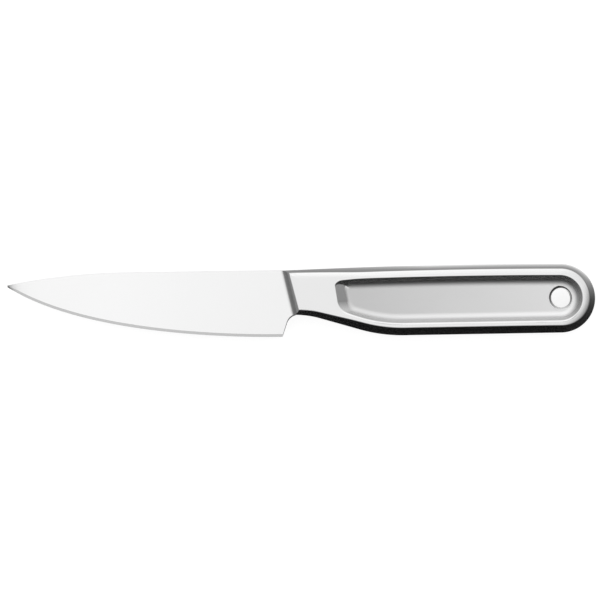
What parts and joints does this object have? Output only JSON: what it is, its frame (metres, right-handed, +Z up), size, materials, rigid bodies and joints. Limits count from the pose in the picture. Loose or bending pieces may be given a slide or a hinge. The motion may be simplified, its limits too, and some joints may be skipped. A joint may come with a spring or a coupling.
{
  "type": "paring knife",
  "caption": "Small kitchen knife with a pointed, flat-ground blade welded into a slim hollow steel handle that has a long recess in each side and a hang hole through its rounded butt.",
  "frame": {"origin": "on the surface that the knife lies on, under the middle of its length and height", "axes": "+X from the blade's tip to the handle's butt, +Y from the cutting edge to the spine, +Z up through the thickness, with the knife lying on its side"},
  "size_m": [0.21, 0.0262, 0.012],
  "materials": {
    "blade_steel": "fine satin with a polished bevel",
    "handle_steel": "satin, brushed along its length",
    "sleeve_steel": "bright turned",
    "weld_steel": "ground flush and polished"
  },
  "bodies": {
    "root": {"blade": "blade_steel", "handle_shell_left": "handle_steel", "handle_shell_right": "handle_steel", "hang_hole_sleeve": "sleeve_steel", "seam_weld": "weld_steel", "neck_weld_left": "weld_steel", "neck_weld_right": "weld_steel"}
  },
  "joints": []
}
